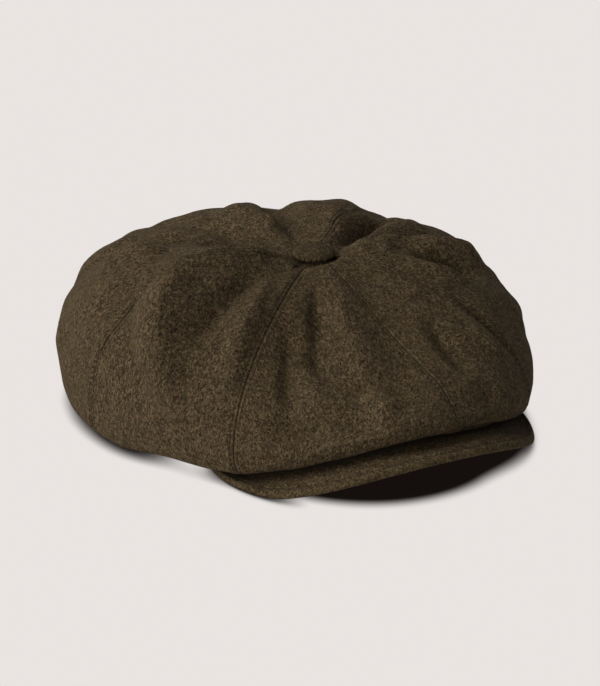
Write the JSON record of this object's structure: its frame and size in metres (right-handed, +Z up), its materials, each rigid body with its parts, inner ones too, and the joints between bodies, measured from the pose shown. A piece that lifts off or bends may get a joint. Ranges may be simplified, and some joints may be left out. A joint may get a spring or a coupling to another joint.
{
  "type": "newsboy cap",
  "caption": "Soft newsboy cap: full panelled wool crown gathered under a covered button, short curved visor, satin lining and sweatband.",
  "frame": {"origin": "middle of the cap's footprint on the table it rests on", "axes": "+Z up, the visor points along -Y, the wearer's left side is +X"},
  "size_m": [0.2628, 0.29, 0.0941],
  "materials": {
    "wool_cloth": "milled olive-brown wool, fuzzy nap",
    "lining_satin": "dark brown satin",
    "sweatband_twill": "dark cotton twill",
    "stiffener_buckram": "stiffened open weave",
    "label_ribbon": "blank woven ribbon",
    "visor_board": "moulded sheet",
    "button_metal": "pressed and tinned"
  },
  "bodies": {
    "crown": {"crown_panel_front_right": "wool_cloth", "crown_panel_front_left": "wool_cloth", "crown_panel_side_front_left": "wool_cloth", "crown_panel_side_rear_left": "wool_cloth", "crown_panel_rear_left": "wool_cloth", "crown_panel_rear_right": "wool_cloth", "crown_panel_side_rear_right": "wool_cloth", "crown_panel_side_front_right": "wool_cloth", "lining_panel_front_right": "lining_satin", "lining_panel_front_left": "lining_satin", "lining_panel_side_front_left": "lining_satin", "lining_panel_side_rear_left": "lining_satin", "lining_panel_rear_left": "lining_satin", "lining_panel_rear_right": "lining_satin", "lining_panel_side_rear_right": "lining_satin", "lining_panel_side_front_right": "lining_satin", "headband_stiffener": "stiffener_buckram", "sweatband": "sweatband_twill", "sweatband_seam_tape": "sweatband_twill", "size_tab": "label_ribbon", "lining_label": "label_ribbon"},
    "visor": {"visor_board": "visor_board", "visor_under_cover": "wool_cloth", "visor_upper_cover": "wool_cloth"},
    "button": {"button_cover": "wool_cloth", "button_shell": "button_metal", "button_back_plate": "button_metal", "button_rivet": "button_metal", "button_washer": "button_metal"}
  },
  "joints": [
    {"name": "visor_tilt", "type": "hinge", "parent": "crown", "child": "visor", "pos_m": [0.00139, -0.06011, 0.02], "axis": [1, 0, 0], "range_deg": [-2, 5], "stiffness_Nm_per_rad": 1.2},
    {"name": "crown_press", "type": "slide", "parent": "crown", "child": "button", "axis": [0, -0.0599, -0.9982], "range_m": [0, 0.024], "stiffness_N_per_m": 60, "springref_m": -0.003, "deforming": ["crown_panel_front_right", "crown_panel_front_left", "crown_panel_side_front_left", "crown_panel_side_rear_left", "crown_panel_rear_left", "crown_panel_rear_right", "crown_panel_side_rear_right", "crown_panel_side_front_right", "lining_panel_front_right", "lining_panel_front_left", "lining_panel_side_front_left", "lining_panel_side_rear_left", "lining_panel_rear_left", "lining_panel_rear_right", "lining_panel_side_rear_right", "lining_panel_side_front_right", "lining_label"]}
  ]
}
